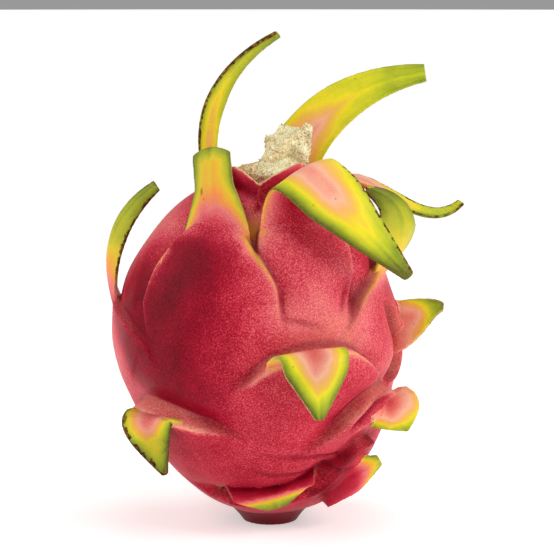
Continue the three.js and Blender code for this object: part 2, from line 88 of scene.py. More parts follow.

# Scales, each rooted in the skin and bending away along a curve. Lengths are in mm and turns in degrees.
# azimuth: round the fruit, 0 at the front, + to the right. height: of the root. apron: how far its base runs
# down the skin. cell: from the root down to the middle of its cushion. lean: how far its root is turned.
# erect: the skin runs up into its outer face with no edge between.
# path: two handles and the tip of the curve that its middle follows from the root, as outwards, to the right
# and up. width: at the foot of the apron, the root, the middle and the tip. cup: hollow of its inner face, as a
# share of the width, below 0 where the margins droop. twist: turned about its own line by its middle and tip.
# lift: how far its crest stands up. tuck: share of the furrow above the crest. crest: points of the crest line
# from its left end to its right, round the fruit and up the skin from the root, and the width of its upper face.
# tone and edge: colour along its middle line and its margins, from red 0 through orange 0.5 and yellow 0.65 to
# green 1. outer and outerEdge: the same for its outer face, where that differs. blushAndLight: colour of its
# cushion, partly its own and partly painted light and shade, and lightSlope: painted light and shade across the
# cushion, as the change of that colour for each mm to the right and up. sides: change of tone at its left and
# right margin. band: over 1 keeps the margins' colour narrow. pale: how much of the paler inside its inner face
# shows.
# dry: brown on its left and right margin. rim: cream on both. marks: dark spots, as share along it, place
# across it from -1 to 1, radius and strength.
scaleShapes = {
    "crownBackLeft": {
        "azimuth": -135, "height": 107, "apron": 14, "cell": 24, "erect": True,
        "path": [(6.9, 6.9, 24), (-1.5, 2.5, 44), (-20, -8, 55)], "width": [26, 6.5, 10, 4], "cup": 0.1,
        "crest": [(-13, -12, 0.5), (-6, -3, 1), (0, 0, 1), (6, -3, 1), (10, -12, 0.5)],
        "tone": [0.3, 0.55, 0.64, 0.74, 0.86], "edge": [0.5, 0.72, 0.82, 0.9, 1], "blushAndLight": 0.15,
        "dry": [0.1, 0.9],
    },
    "crownBackRight": {
        "azimuth": 163, "height": 110, "apron": 12, "cell": 18, "erect": True,
        "path": [(-2, -5, 17), (5, -19, 33), (15, -44, 36)], "width": [28, 20, 14.5, 6], "cup": 0.15,
        "tone": [0.3, 0.36, 0.66, 0.74, 0.8], "edge": [0.62, 0.68, 0.71, 0.78, 0.92], "dry": [0.05, 0.05],
    },
    "crownRight": {
        "azimuth": 95, "height": 107, "apron": 12, "cell": 16, "erect": True,
        "path": [(3.5, 0, 15), (25.5, 0, -17.5), (40, 2, -3)], "width": [28, 16, 9.5, 3],
        "cup": 0.12, "twist": [20, 30],
        "tone": [0.2, 0.35, 0.6, 0.75, 0.7], "edge": [0.3, 0.45, 0.7, 0.85, 0.8], "dry": [0.4, 1.6],
    },
    "crownFrontRight": {
        "azimuth": 21, "height": 101, "apron": 20, "cell": 20, "erect": True,
        "path": [(-8, 0, 30), (27, -7, 18), (16.5, 31, -16)], "width": [46, 24, 19, 3.5],
        "cup": -0.19, "twist": [50, 64], "lift": 1.2,
        "crest": [
            (-10, -20, 0.5), (-13, -9, 1), (-12, 0, 1.2), (0, 3, 1), (12, 1, 1.2), (17, -6, 1.2),
            (18, -19, 1), (16, -32, 0.4),
        ],
        "tone": [0.05, 0.33, 0.44, 0.74, 1.05], "edge": [0.5, 0.92, 1.1, 1.1, 1.1],
        "outer": [0, 0, 0.15, 0.7, 0.95], "outerEdge": [0.3, 0.45, 0.6, 0.85, 1],
        "blushAndLight": 0.15, "lightSlope": (0.004, -0.008), "sides": (0.1, -0.3), "band": 1.9, "dry": [0.3, 1.6],
    },
    "crownFrontLeft": {
        "azimuth": -29, "height": 99, "apron": 26, "cell": 28, "erect": True,
        "path": [(-5, -2, 10), (-11, -8, 28), (-15, -9, 24)], "width": [46, 24, 13, 12],
        "cup": 0.15, "twist": [8, 22],
        "crest": [
            (-14, -38, 0.15), (-17, -25, 0.5), (-15.5, -14, 0.95), (-10.5, -4, 1.3), (-7, 1.5, 1), (0, 3, 1),
            (9, 1, 1.3), (18, -9, 1.3), (26, -18, 1.1), (31, -34, 0.4),
        ],
        "tone": [0.02, 0.34, 0.48, 0.6, 0.9], "edge": [0.64, 0.86, 0.96, 0.97, 0.95],
        "blushAndLight": -0.14, "lightSlope": (0.011, 0), "sides": (0.03, -0.06), "band": 2.2,
        "dry": [0.35, 0.15], "rim": 0.3, "marks": [(0.45, -0.45, 0.8, 2)],
    },
    "rightUpper": {
        "azimuth": 78, "height": 84, "apron": 12, "cell": 14, "erect": True,
        "path": [(7, 0, 8), (12, 4, 22), (-5.5, 4, 26.5)], "width": [28, 17, 18, 3],
        "cup": 0.12, "twist": [-40, -60],
        "crest": [(-32, -19, 0.4), (-20, -6, 1.1), (-6, 1, 1.3), (0, 2, 1), (8, 0, 1), (16, -8, 0.6)],
        "tone": [0.4, 0.64, 0.72, 0.84, 0.95], "edge": [0.5, 0.7, 0.8, 0.95, 1], "blushAndLight": 0.1,
        "dry": [1.2, 0.3],
    },
    "leftUpper": {
        "azimuth": -92, "height": 72, "apron": 18, "cell": 20, "erect": True,
        "path": [(4, 1, 12), (3.5, 2, 27), (-13.5, 1, 39.5)], "width": [32, 16, 11, 4],
        "cup": 0.12, "twist": [30, 60], "lift": 2.2, "tuck": 0.1,
        "crest": [
            (-16, -16, 0.5), (-8, -3, 1), (0, 2, 1), (7, 1, 1.2), (20, -1, 1.2), (35, -8, 1), (39, -18, 0.4),
        ],
        "tone": [0.05, 0.4, 0.7, 0.8, 0.86], "edge": [0.1, 0.48, 0.76, 0.84, 0.95], "blushAndLight": 0.12,
        "dry": [1.2, 1.2],
    },
    "rightMiddle": {
        "azimuth": 84, "height": 66, "apron": 8, "cell": 14, "lean": 75,
        "path": [(5, -2, 1), (11, -1, 7.5), (16, 0, 6.5)], "width": [42, 19, 12, 3], "cup": 0.1,
        "crest": [(2, -21, 0.5), (0, -11, 1), (-1, -3, 1.5), (-6, 7, 1.5), (-12, 11, 1), (-18, 10, 0.4)],
        "tone": [0.15, 0.3, 0.4, 0.78, 0.95], "edge": [0.2, 0.4, 0.7, 0.85, 1], "blushAndLight": 0.2,
        "dry": [0.2, 0.4], "rim": 0.4,
    },
    "frontMiddle": {
        "azimuth": 19, "height": 61, "apron": 5, "cell": 16, "lean": 12,
        "path": [(5, 0, 6), (13, 0, 8), (10, 1, -16)], "width": [54, 25, 21, 3], "cup": -0.06, "lift": 2.8,
        "crest": [
            (-24, -11, 0.2), (-17, -6, 1.2), (-10, -1, 3), (2, 2, 3), (15, 2, 2.6), (21, -1, 1.2),
            (29, -7, 0.7), (38, -14, 0.3),
        ],
        "tone": [0.12, 0.24, 0.38, 0.64, 0.97], "edge": [0.45, 0.9, 1.08, 1.1, 1.1],
        "blushAndLight": 0.06, "sides": (0, -0.05), "band": 2,
        "dry": [0.1, 0.15], "rim": 0.35, "marks": [(0.5, 0, 7, 0.3)],
    },
    "rightLower": {
        "azimuth": 67, "height": 40, "apron": 7, "cell": 14, "lean": 20,
        "path": [(3, 0, 5), (5.5, -2, 5), (4.5, -2, -5)], "width": [40, 20, 20, 12],
        "cup": -0.05, "twist": [10, 20], "lift": 2.2,
        "crest": [
            (-35, -13, 0.2), (-25, -5, 0.7), (-16, 4, 1.4), (-9, 7, 2.4), (-1, 8, 2.6), (9, 6, 1.6),
            (17, -2, 0.5),
        ],
        "tone": [0.1, 0.18, 0.24, 0.38, 0.85], "edge": [0.3, 0.35, 0.6, 0.75, 0.9], "blushAndLight": 0.06,
        "dry": [0.1, 0.15], "rim": 0.3,
    },
    "leftLower": {
        "azimuth": -49, "height": 40, "apron": 5, "cell": 15,
        "path": [(4, 0, 3), (8, 0, 4), (2, 5.5, -16)], "width": [48, 23, 13.5, 2], "cup": 0.05, "lift": 2.6,
        "crest": [
            (-27, -5, 0.6), (-14, 2, 2.6), (-4, 4, 3.4), (7, 1, 4), (14, 0, 2.6), (22, -1, 1.2),
            (30, -5, 0.2),
        ],
        "tone": [0.12, 0.3, 0.6, 0.74, 1], "edge": [0.45, 0.9, 1.05, 1.1, 1.1], "band": 1.8, "pale": 0.5,
        "dry": [4, 0.3], "marks": [(0.6, -0.1, 6, 0.5)],
    },
    "rightFoot": {
        "azimuth": 43, "height": 16.5, "apron": 8, "cell": 12, "lean": -65, "erect": True,
        "path": [(1.5, 6, 2), (5, 12, 5), (8, 17, 8.5)], "width": [40, 14, 14, 4], "cup": 0.08, "lift": 1.2,
        "crest": [(-10, -12, 0.3), (-6, 0, 1), (-2, 10, 1.2), (6, 17, 1.2), (16, 18, 1), (24, 12, 0.4)],
        "tone": [-0.1, -0.05, 0.02, 0.35, 0.8], "edge": [0, 0.1, 0.4, 0.85, 0.95], "pale": 0.3,
        "dry": [0.2, 0.6], "rim": 0.2,
    },
    "frontFoot": {
        "azimuth": 3, "height": 15.5, "apron": 5, "cell": 8, "lean": 9,
        "path": [(3, -0.2, 1.2), (6, 0.4, -1), (4.5, 1.6, -6.3)], "width": [44, 31, 26, 7],
        "cup": -0.04, "lift": 1.6,
        "crest": [(-17, -7, 0.3), (-12, -3, 1), (0, -1, 1), (12, 3, 1), (18, 8, 1), (27, 14, 0.3)],
        "tone": [-0.25, -0.2, 0, 0.74, 0.92], "edge": [-0.2, -0.1, 0.2, 0.82, 1], "pale": 0,
        "dry": [0, 0], "rim": 0.1,
    },
    "leftFoot": {
        "azimuth": -41, "height": 14.5, "apron": 4, "cell": 8,
        "path": [(1, 0, 1), (1.5, 0, 1), (2, 1, -1)], "width": [10, 5, 4, 2], "cup": -0.05, "lift": 0.4,
        "crest": [(-5, -3, 0.1), (0, 0, 0.3), (5, -3, 0.1)],
        "tone": [0, 0.6, 1.1, 1.1, 1.1], "edge": [0, 0.6, 1.1, 1.1, 1.1],
        "dry": [9, 9], "marks": [(0.5, 0, 3, 2)],
    },
    "rimLeft": {
        "azimuth": -36, "height": 111, "apron": 8, "cell": 10, "erect": True,
        "path": [(1, 0, 3), (1, 0, 5), (1, -1, 8)], "width": [24, 22, 13, 3], "cup": 0.12,
        "tone": [-0.05, 0, 0.02, 0.1, 0.3], "edge": [0, 0.05, 0.12, 0.3, 0.55], "dry": [0, 0], "rim": 0.8,
    },
    "rimRight": {
        "azimuth": 28, "height": 111, "apron": 8, "cell": 10, "erect": True,
        "path": [(1, 0, 3), (1, 1, 6), (0, 2, 9)], "width": [26, 26, 15, 3], "cup": 0.12,
        "tone": [-0.05, 0, 0.02, 0.1, 0.3], "edge": [0, 0.05, 0.12, 0.3, 0.55], "dry": [0, 0], "rim": 0.8,
    },
}
# The scales of the back: azimuth, height, apron, cell, cup, path and width. The upper ones are erect.
backScales = {
    "backUpperLeft": (-160, 84, 14, 16, 0.1, [(4, 0, 10), (9, 0, 18), (12, 2, 24)], [38, 18, 13, 4]),
    "backUpperRight": (125, 80, 14, 16, 0.1, [(3, 0, 6), (6, 0, 11), (6, 1, 16)], [38, 18, 12, 4]),
    "backCrown": (-172, 100, 14, 16, 0.1, [(5, 0, 8), (14, 0, 14), (26, 2, 8)], [34, 20, 14, 4]),
    "backMiddle": (168, 62, 5, 16, 0.05, [(4, 0, 8), (12, 0, 10), (14, 1, -10)], [46, 22, 17, 3]),
    "backMiddleLeft": (-130, 56, 5, 15, 0.02, [(3, 0, 8), (9, 0, 8), (8, 1, -12)], [46, 22, 17, 3]),
    "backMiddleRight": (128, 50, 5, 15, 0, [(3, 0, 8), (9, 0, 8), (8, -1, -12)], [46, 23, 17, 3]),
    "backLower": (170, 37, 5, 14, 0, [(4, 0, 6), (12, 0, 8), (10, 1, -11)], [46, 23, 16, 3]),
    "backLowerLeft": (-122, 32, 5, 12, 0, [(3, 0, 5), (8, 0, 6), (7, 1, -10)], [42, 22, 15, 3]),
    "backLowerRight": (131, 26, 5, 10, -0.05, [(3, 0, 5), (9, 0, 5), (9, -1, -7)], [38, 20, 14, 3]),
    "backFoot": (-170, 16, 4, 8, -0.05, [(4, 0, 4), (8, 0, 4), (6, 1, -6)], [34, 22, 14, 4]),
}
# What a scale has where its own entry doesn't say. ledge: width of the upper face of its crest.
usualScale = {
    "lean": 0,
    "erect": False,
    "twist": [0, 0],
    "lift": 1.5,
    "tuck": 1,
    "ledge": 2.5,
    "ledgeTone": 0.16,
    "tone": [0.15, 0.34, 0.42, 0.6, 0.9],
    "edge": [0.42, 0.66, 0.8, 0.88, 0.97],
    "blushAndLight": 0,
    "lightSlope": (0, 0),
    "sides": (0, 0),
    "band": 2.4,
    "pale": 1,
    "dry": [0.3, 0.3],
    "rim": 0,
    "marks": [],
}
# Narrow folds of the skin: width, and points as degrees round the fruit, height and depth, below 0 for a ridge.
foldShapes = {
    "besideCheek": (1.5, [(52, 87, 0), (48, 80.5, 1.4), (43, 72.5, 0)]),
    "besideCheekInner": (1.3, [(44.5, 86, 0), (40, 79, 1), (36.5, 72.5, 0)]),
    "betweenCheeks": (1, [(11, 85, 0), (11, 81, 0.9), (11, 76, 0.7), (12, 71, 0)]),
    "underCheek": (1.1, [(9, 76, 0), (14, 73.5, 0.7), (22, 72.5, 0.6), (32, 69.5, 0)]),
    "rightMiddleOuter": (1.1, [(75, 75, 0), (84, 67, 0.9), (86, 61, 0.9), (77, 54, 0)]),
    "rightMiddleInner": (1, [(71, 73, 0), (78, 66, 0.7), (79, 60, 0.7), (72, 54, 0)]),
    "rightLowerCrease": (1.4, [(67, 47.5, 0.3), (55, 46, 1.8), (48, 42, 2), (40, 37, 0)]),
    "rightLowerTwin": (1.2, [(57, 50, 0), (46.5, 46, 1.1), (38, 42, 0.9), (32, 38.5, 0)]),
    "rightLowerRidge": (1.2, [(58, 40, -0.4), (47, 38, -1.2), (37, 36.5, 0)]),
    "wrinkleUpper": (1, [(62, 29, 0.3), (45, 27.5, 1), (28, 30, 0.9), (12, 30, 0.6), (-6, 32, 0)]),
    "wrinkleLower": (1, [(70, 22, 0.2), (42, 24.5, 1), (25, 23, 0.9), (2, 23.5, 0.7), (-9, 27, 0)]),
    "footFold": (1, [(46, 22, 0), (40, 17.5, 0.9), (37, 13, 0)]),
    "footFoldRight": (1, [(57, 18, 0), (47, 15.5, 0.8), (40, 11.5, 0)]),
}
foldReach = 8  # how far from a fold the skin still answers to it
# Broad patches of the skin, painted lighter on the shoulders, the cheeks and the valley of the crown, and darker
# where scales and folds shade it, with some of the skin's own change of colour: degrees round the fruit, height,
# reach in mm and change of tone.
lightShadeTints = {
    "leftShoulder": (-68, 98, 14, 0.29),
    "leftSide": (-85, 62, 12, 0.12),
    "crownValley": (-7, 101, 8, 0.42),
    "rightCheek": (11, 84, 11, 0.04),
    "rightCheekTop": (22, 101, 8, -0.07),
    "cheekTop": (-23, 92, 11, -0.07),
    "underCheeks": (14, 74, 8, 0.05),
    "besideCheek": (43, 81, 6, -0.12),
    "rightSide": (70, 66, 12, 0.08),
}
bladeShape = {
    "rootThickness": 2.8,  # along the middle of a scale
    "tipThickness": 1.6,
    "edgeThickness": 0.9,  # along its margins
    "footWidth": 0.9,  # of the foot of its apron, in widths of the root
    "sink": 2.4,  # how deep the apron's foot lies under the skin
    "spacing": 0.7,  # between the rows of a scale
    "columns": 30,
    "veins": 0.026,  # change of tone along the fibres of a scale
    "veinSpacings": (7.0, 12.3, 19.1),
    "streak": 0.15,  # how much redder the inner face is along its middle
    "streakPlace": (0.4, 0.25, 0.35),  # share along the scale, reach along it and reach across it
    "colourFrom": (-0.55, 0.6),  # share along where the skin's colour gives way to the scale's, and over how much
    "leafFrom": (-0.1, 0.45),
    "dryRange": (0.6, 1.5),  # dry margins at the root and at the tip, against the scale's own
    "marginReach": 8,  # mm from the margin that the finish knows of
}


def mix(a, b, t):
    return a + (b - a) * t


def ease(t):
    t = np.clip(t, 0, 1)
    return t * t * (3 - 2 * t)


def selectOnly(piece):
    bpy.ops.object.select_all(action="DESELECT")
    piece.select_set(True)
    bpy.context.view_layer.objects.active = piece


# A new primitive, with nothing else selected.
def addPrimitive(kind, **settings):
    bpy.ops.object.select_all(action="DESELECT")
    getattr(bpy.ops.mesh, f"primitive_{kind}_add")(**settings)
    return bpy.context.object


# Joins pieces into the first of them and remeshes it to one closed surface, with its attributes or without.
def fuse(pieces, name, voxel, keepGrowth):
    selectOnly(pieces[0])
    for piece in pieces:
        piece.select_set(True)
    bpy.ops.object.join()
    pieces[0].name = name
    mesh = pieces[0].data
    mesh.remesh_voxel_size = voxel
    mesh.use_remesh_preserve_attributes = keepGrowth
    bpy.ops.object.voxel_remesh()


def applyModifier(piece, kind, **settings):
    selectOnly(piece)
    bpy.ops.object.modifier_add(type=kind)
    modifier = piece.modifiers[-1]
    for key, value in settings.items():
        setattr(modifier, key, value)
    bpy.ops.object.modifier_apply(modifier=modifier.name)


def readPoints(mesh):
    spots = np.empty(len(mesh.vertices) * 3)
    mesh.vertices.foreach_get("co", spots)
    return spots.reshape(-1, 3)


def writePoints(mesh, spots):
    mesh.vertices.foreach_set("co", np.asarray(spots, float).ravel())
    mesh.update()


def writeGrowth(mesh, name, channels):
    values = np.stack([np.broadcast_to(c, len(mesh.vertices)) for c in channels], 1)
    layer = mesh.color_attributes.new(name, "FLOAT_COLOR", "POINT")
    layer.data.foreach_set("color", values.astype(np.float32).ravel())


def readGrowth(mesh, name):
    values = np.empty(len(mesh.vertices) * 4, np.float32)
    mesh.color_attributes[name].data.foreach_get("color", values)
    return values.reshape(-1, 4)


# Slow, smooth noise from a few crossing waves, the same every run.
def waves(spots, size, seed):
    draw = np.random.default_rng(seed)
    total = np.zeros(len(spots))
    for _ in range(9):
        way = draw.normal(size=3)
        way /= np.linalg.norm(way)
        total += np.sin(spots @ way * (2 * math.pi / (size * draw.uniform(0.7, 1.5))) + draw.uniform(0, 6.3))
    return total / 3


def smoothRadius(height):
    shape = bodyShape
    upper = shape["topHeight"] - shape["beltHeight"]
    lower = shape["beltHeight"] - shape["bottomHeight"]
    semi = np.where(height > shape["beltHeight"], upper, lower)
    t = np.clip(np.abs(height - shape["beltHeight"]) / semi, 0, 1)
    egg = shape["beltRadius"] * np.sqrt(1 - t ** shape["fullness"])
    neck = np.where(height < shape["neckHeight"], shape["baseRadius"] + shape["neckFlare"] * height, 0)
    return np.maximum(egg, neck)


def smoothPoint(azimuth, height):
    radius = smoothRadius(height)
    share = np.clip(height / bodyShape["crownHeight"], 0, 1)
    aside = bodyShape["bow"] * np.sin(np.pi * share ** bodyShape["bowRise"])
    return np.stack([radius * np.sin(azimuth) + aside, -radius * np.cos(azimuth), height + 0 * azimuth], -1)


# Heights up the profile and the way walked to them, for laying things off along the skin.
profileHeight = np.linspace(0, bodyShape["crownHeight"], 900)
profileRadius = smoothRadius(profileHeight)
profileWay = np.concatenate([[0], np.cumsum(np.hypot(np.diff(profileHeight), np.diff(profileRadius)))])


def walkDown(height, distance):
    way = np.interp(height, profileHeight, profileWay) - distance
    return np.interp(way, profileWay, profileHeight)


def wayUp(height):
    return np.interp(height, profileHeight, profileWay)


# The way walked to each point of a line, and the points at given ways along it.
def walked(line):
    return np.concatenate([[0], np.cumsum(np.linalg.norm(np.diff(line, axis=0), axis=1))])


def pointsAt(places, way, line):
    return np.stack([np.interp(places, way, column) for column in line.T], 1)


# A smooth line of close points through a few given ones.
def smoothLine(points, spacing, soften):
    points = np.array(points, float)
    way = walked(points)
    count = max(8, round(way[-1] / spacing))
    line = pointsAt(np.linspace(0, way[-1], count + 1), way, points)
    half = max(1, round(soften / spacing))
    window = np.hanning(2 * half + 3)[1:-1]
    window /= window.sum()
    padded = np.pad(line, [(half, half), (0, 0)], mode="reflect", reflect_type="odd")
    return np.stack([np.convolve(column, window, "valid") for column in padded.T], 1)


for name, (azimuth, height, apron, cell, cup, path, width) in backScales.items():
    scaleShapes[name] = {
        "azimuth": azimuth, "height": height, "apron": apron, "cell": cell, "cup": cup, "path": path,
        "width": width, "erect": height >= 80,
    }
scales = [{**usualScale, **shape} for shape in scaleShapes.values()]
for scale in scales:
    half, root = scale["width"][0] / 2, scale["width"][1] / 2
    foot, ledge = -scale["apron"] - 3, crestShape["erectLedge"] if scale["erect"] else scale["ledge"]
    usual = [(-half, foot, 0.3), (-root, -2, ledge), (0, 1, ledge), (root, -2, ledge), (half, foot, 0.3)]
    scale["line"] = smoothLine(scale.get("crest", usual), crestShape["spacing"], 4)
    scale["turn"] = math.radians(scale["azimuth"])
scales.sort(key=lambda scale: -scale["height"])
cellReach = np.array([scale["cell"] for scale in scales], float)
cellMiddle = np.array([smoothPoint(scale["turn"], walkDown(scale["height"], scale["cell"])) for scale in scales])
cellBlushAndLight = np.array([scale["blushAndLight"] for scale in scales], float)
cellLightSlope = np.array([scale["lightSlope"] for scale in scales], float)
cellTurn = np.array([scale["turn"] for scale in scales])
cellWay = np.array([wayUp(scale["height"]) - scale["cell"] for scale in scales])
folds = []
for width, line in foldShapes.values():
    turns, heights, depths = np.array(line, float).T
    middle = len(turns) // 2
    aside = np.radians(turns - turns[middle]) * smoothRadius(heights)
    points = np.stack([aside, wayUp(heights) - wayUp(heights[middle]), depths], 1)
    folds.append({
        "turn": math.radians(turns[middle]), "height": heights[middle], "width": width,
        "line": smoothLine(points, crestShape["spacing"], 3),
    })


# How points of the skin lie to a scale's crest line: which are near, the distance above it, how strong it is.
def crestPlace(scale, azimuth, height, reach):
    turn = (azimuth - scale["turn"] + math.pi) % (2 * math.pi) - math.pi
    aside = turn * smoothRadius(height)
    up = wayUp(height) - wayUp(scale["height"])
    line = scale["line"]
    near = (aside > line[:, 0].min() - reach) & (aside < line[:, 0].max() + reach)
    near &= (up > line[:, 1].min() - reach) & (up < line[:, 1].max() + reach)
    near = np.nonzero(near & (np.abs(turn) < 2))[0]
    spots = np.stack([aside[near], up[near]], 1).astype(np.float32)
    gaps = ((spots[:, None] - line[None, :, :2].astype(np.float32)) ** 2).sum(2)
    closest = gaps.argmin(1)
    onward = np.gradient(line, axis=0)[closest]
    onward /= np.linalg.norm(onward[:, :2], axis=1, keepdims=True)
    off = spots - line[closest, :2]
    above = onward[:, 0] * off[:, 1] - onward[:, 1] * off[:, 0]
    distance = np.sign(above) * np.sqrt(gaps[np.arange(len(near)), closest])
    top = np.abs(line[:, 0]).argmin()
    arm = np.where(closest < top, (top - closest) / max(1, top), (closest - top) / max(1, len(line) - 1 - top))
    return near, distance, arm, line[closest, 2], spots


# Height of the relief over the smooth body, with the colours and furrows that come with it.
def relief(azimuth, height):
    shape = crestShape
    azimuth, height = azimuth.ravel(), height.ravel()
    spots = smoothPoint(azimuth, height)
    raised = np.zeros(len(spots))
    crease, inner = np.zeros((2, len(spots)))
    away = np.linalg.norm(spots[:, None] - cellMiddle[None], axis=2) - cellReach
    soft = np.exp(-(away - away.min(axis=1, keepdims=True)) / shape["between"])
    # painted light and shade: each cushion's colour, partly its own, made lighter and darker across it as the light
    # falls
    turn = (azimuth[:, None] - cellTurn + math.pi) % (2 * math.pi) - math.pi
    lightSlope = cellLightSlope[:, 0] * turn * smoothRadius(height)[:, None]
    lightSlope += cellLightSlope[:, 1] * (wayUp(height)[:, None] - cellWay)
    tone = (soft * (cellBlushAndLight + np.clip(lightSlope, *shape["lightSlopeRange"]))).sum(1) / soft.sum(1)
    # painted light and shade in broad patches, with some of the skin's own change of colour
    for turned, level, reach, change in lightShadeTints.values():
        middle = smoothPoint(math.radians(turned), np.array(level, float))
        tone += change * np.exp(-((np.linalg.norm(spots - middle, axis=1) / reach) ** 2))
    for scale in scales:
        near, distance, arm, ledge, spot = crestPlace(scale, azimuth, height, shape["reach"])
        strength = ease((1 - arm) / shape["taper"])
        lift = scale["lift"] * strength
        tuck = shape["tuck"] * scale["tuck"] * strength
        under = np.maximum(distance - ledge, 0)
        side = np.where(
            distance < 0,
            lift * np.exp(np.minimum(distance, 0) / shape["rise"]),
            np.where(
                distance < ledge,
                mix(lift, -tuck, ease(distance / ledge)),
                -tuck * np.exp(-((under / shape["tuckWidth"]) ** 2)),
            ),
        )
        cover = ease(-distance / shape["cover"]) * strength
        raised[near] = raised[near] * (1 - cover) + side
        # painted shade in the furrow above the crest
        furrow = np.exp(-(((distance - ledge) / shape["furrowShadeWidth"]) ** 2)) * strength
        crease[near] = np.maximum(crease[near] * (1 - cover), furrow)
        # the upper face of the ledge, its bright rim, and the glow below it on an erect scale
        onLedge = ease((distance + 0.3) / 0.6) * ease((ledge + 0.6 - distance) / 0.8) * ease(strength * 2)
        toward = ease((1 - arm) / 0.75)
        amongst = ease((scale["width"][1] / 2 + 1.5 - np.abs(spot[:, 0])) / 3)
        rim = np.exp(-((distance / shape["rim"]) ** 2)) * toward
        here = mix(tone[near], scale["ledgeTone"], onLedge * toward)
        if scale["erect"]:
            rim *= 1 - amongst
            far = ease(arm / 0.6)
            glow = np.exp(np.minimum(distance, 0) / mix(*shape["glow"], far)) * (distance < 0.3)
            here = mix(here, scale["edge"][0] + mix(*shape["glowTone"], far), glow * toward * (1 - amongst))
            flush = ease(1 + spot[:, 1] / shape["flush"]) ** 1.5 * amongst * (distance < ledge)
            sideways = np.clip(np.abs(spot[:, 0]) * 2 / scale["width"][1], 0, 1) ** scale["band"]
            here = mix(here, mix(scale["tone"][0], scale["edge"][0], sideways), flush)
        here = mix(here, scale["edge"][0], rim)
        tone[near] = here
        pale = onLedge * toward * shape["paleLedge"][scale["erect"]]
        inner[near] = np.maximum(inner[near] * (1 - cover), pale)
    for fold in folds:
        near, distance, _, depth, _ = crestPlace(fold, azimuth, height, foldReach)
        bump = np.exp(-((distance / fold["width"]) ** 2)) * depth
        raised[near] -= bump
        crease[near] = np.maximum(crease[near], bump)
        # painted shade in the folds, and painted light along the ridges
        tone[near] -= bump * shape["foldShade"]
    crease = np.minimum(crease, 1)
    # painted shade at the stem end: a darker tone, and the deeper red of the furrows
    foot = ease((shape["footShadeHeight"] - height) / shape["footShadeHeight"])
    tone = tone - shape["footShade"] * foot
    fade = ease(height / shape["fade"]) * ease((bodyShape["crownHeight"] - height) / shape["crownFade"])
    total = (shape["swell"] + raised + shape["waver"] * waves(spots, 26, 5)) * fade
    return total, np.maximum(crease * fade, foot), inner * fade, tone


def skinPoint(azimuth, height, raised=0):
    azimuth, height = np.broadcast_arrays(np.asarray(azimuth, float), np.asarray(height, float))
    spots = smoothPoint(azimuth, height)
    slope = smoothRadius(height + 0.5) - smoothRadius(height - 0.5)
    outward = np.stack([np.sin(azimuth), -np.cos(azimuth), -slope], -1)
    outward /= np.linalg.norm(outward, axis=-1, keepdims=True)
    return spots + outward * (relief(azimuth, height)[0].reshape(azimuth.shape) + raised)[..., None]


def makeBody():
    piece = addPrimitive("uv_sphere", segments=bodyShape["segments"], ring_count=bodyShape["rings"], radius=1)
    mesh = piece.data
    ball = readPoints(mesh)
    azimuth = np.arctan2(ball[:, 0], -ball[:, 1])
    share = np.arcsin(np.clip(ball[:, 2], -1, 1)) / math.pi + 0.5
    # the way from the middle of the cut end, up the side and to the middle of the crown
    radii = np.concatenate([[0], profileRadius, [0]])
    heights = np.concatenate([[0], profileHeight, [bodyShape["crownHeight"]]])
    way = np.concatenate([[0], np.cumsum(np.hypot(np.diff(radii), np.diff(heights)))])
    radius = np.interp(share * way[-1], way, radii)
    height = np.interp(share * way[-1], way, heights)
    spots = smoothPoint(azimuth, height)
    raised, crease, inner, tone = relief(azimuth, height)
    onSide = radius >= smoothRadius(height) - 0.01
    skin = skinPoint(azimuth, height)
    flat = np.stack([
        radius * np.sin(azimuth) + (spots[:, 0] - smoothRadius(height) * np.sin(azimuth)),
        -radius * np.cos(azimuth),
        height,
    ], 1)
    writePoints(mesh, np.where(onSide[:, None], skin, flat))
    writeGrowth(mesh, "growth", [tone, inner * onSide, 1, 0])
    writeGrowth(mesh, "surface", [0, crease * onSide, 0, 0])
    return piece


def throughValues(values, share):
    places = np.linspace(0, 1, len(values))
    smooth = np.interp(np.linspace(0, 1, 121), places, values)
    padded = np.pad(smooth, 12, mode="reflect", reflect_type="odd")
    smooth = np.convolve(padded, np.hanning(25) / np.hanning(25).sum(), "same")[12:-12]
    return np.interp(share, np.linspace(0, 1, 121), smooth)


